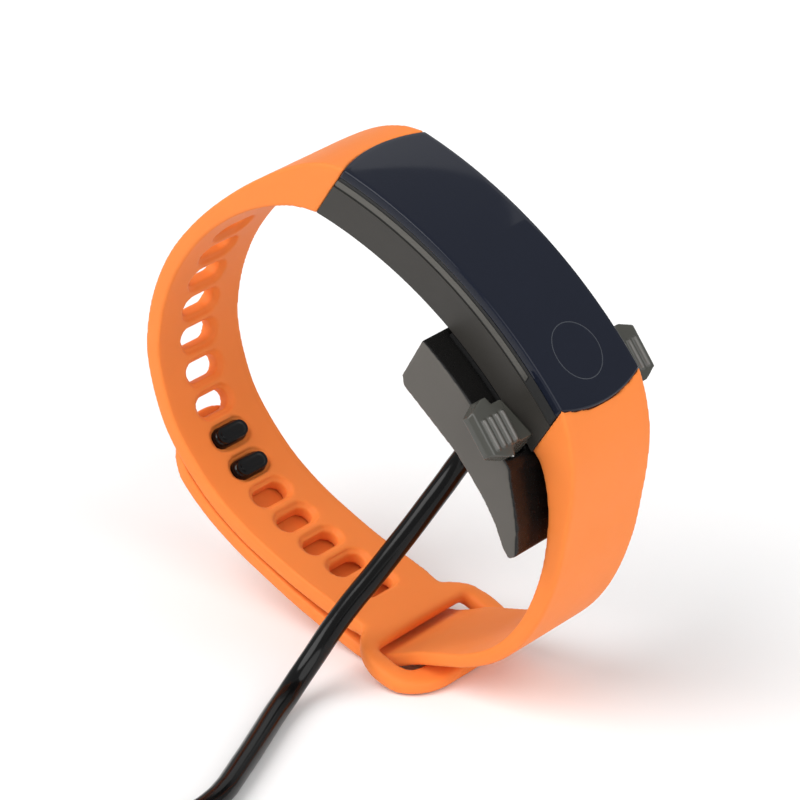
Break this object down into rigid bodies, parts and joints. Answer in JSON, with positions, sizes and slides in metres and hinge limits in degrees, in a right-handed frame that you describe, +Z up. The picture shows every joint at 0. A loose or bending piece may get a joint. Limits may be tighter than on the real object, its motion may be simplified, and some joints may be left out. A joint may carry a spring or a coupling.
{
  "type": "fitness tracker band",
  "caption": "Wrist fitness tracker with curved dark display and orange slotted strap, held in a clip-on charging cradle with a cable.",
  "frame": {"origin": "middle of the wrist opening, on the axis that the wrist lies along", "axes": "+Y along the wrist axis, +Z up with the band standing on its strap, display turned 32.5 degrees from +Z towards +X"},
  "size_m": [0.096, 0.1306, 0.0729],
  "materials": {
    "glass_black": "polished dark cover glass",
    "panel": "dark display module",
    "film": "conductive film",
    "frame_black": "satin black moulding",
    "rail_grey": "satin anodised grey",
    "seal": "soft black rubber",
    "housing_grey": "fine matt taupe grey",
    "cover_black": "fine matt black",
    "window": "clear dark window",
    "board": "green solder mask",
    "led": "clear green lamps",
    "contact": "gold plated",
    "cell": "foil pouch",
    "steel": "bright steel",
    "strap_orange": "soft matt orange elastomer",
    "stud_black": "gloss black",
    "cradle_grey": "fine matt grey",
    "cradle_black": "satin black",
    "ear_dark": "satin dark grey",
    "cable_black": "gloss black jacket",
    "plug_black": "fine matt black",
    "tie_black": "woven hook and loop",
    "plug_white": "white insulator"
  },
  "bodies": {
    "charger": {"cradle_shell": "cradle_grey", "cradle_seat": "cradle_black", "cradle_board": "board", "pogo_barrels": "contact", "pogo_spring_a": "steel", "pogo_spring_b": "steel", "latch_pins": "steel", "latch_springs": "steel", "cable_relief": "plug_black", "charge_cable": "cable_black", "cable_coil": "cable_black", "coil_tie": "tie_black", "plug_lead": "cable_black", "plug_grip": "plug_black", "plug_shell": "steel", "plug_tongue": "plug_white"},
    "pogo_a": {"pogo_pin_a": "contact"},
    "pogo_b": {"pogo_pin_b": "contact"},
    "latch_near": {"latch_near": "ear_dark"},
    "latch_far": {"latch_far": "ear_dark"},
    "tracker": {"display_glass": "glass_black", "display_panel": "panel", "touch_pad": "film", "upper_frame": "frame_black", "rail_near": "rail_grey", "rail_far": "rail_grey", "frame_seal": "seal", "lower_housing": "housing_grey", "rear_cover": "cover_black", "sensor_window": "window", "sensor_board": "board", "pulse_lights": "led", "charge_contacts": "contact", "main_board": "board", "battery": "cell", "vibration_motor": "steel", "slot_strap": "strap_orange", "stud_strap": "strap_orange"},
    "tail": {"strap_tail": "strap_orange", "clasp_studs": "stud_black"}
  },
  "joints": [
    {"name": "undock", "type": "slide", "parent": "charger", "child": "tracker", "axis": [0.5373, 0, 0.8434], "range_m": [0, 0.006]},
    {"name": "latch_open_near", "type": "hinge", "parent": "charger", "child": "latch_near", "pos_m": [0.02732, -0.0104, 0.00794], "axis": [0.8434, 0, -0.5373], "range_deg": [0, 8], "stiffness_Nm_per_rad": 0.05, "springref_deg": -2.29},
    {"name": "latch_open_far", "type": "hinge", "parent": "charger", "child": "latch_far", "pos_m": [0.02732, 0.0104, 0.00794], "axis": [-0.8434, 0, 0.5373], "range_deg": [0, 8], "stiffness_Nm_per_rad": 0.05, "springref_deg": -2.29},
    {"name": "pogo_press_a", "type": "slide", "parent": "charger", "child": "pogo_a", "axis": [-0.5373, 0, -0.8434], "range_m": [0, 0.0008], "stiffness_N_per_m": 600, "springref_m": -0.0003, "deforming": ["pogo_spring_a"]},
    {"name": "pogo_press_b", "type": "slide", "parent": "charger", "child": "pogo_b", "axis": [-0.5373, 0, -0.8434], "range_m": [0, 0.0008], "stiffness_N_per_m": 600, "springref_m": -0.0003, "deforming": ["pogo_spring_b"]},
    {"name": "tail_peel", "type": "hinge", "parent": "tracker", "child": "tail", "pos_m": [-0.01297, 0, -0.03196], "axis": [0, -1, 0], "range_deg": [0, 12]}
  ]
}
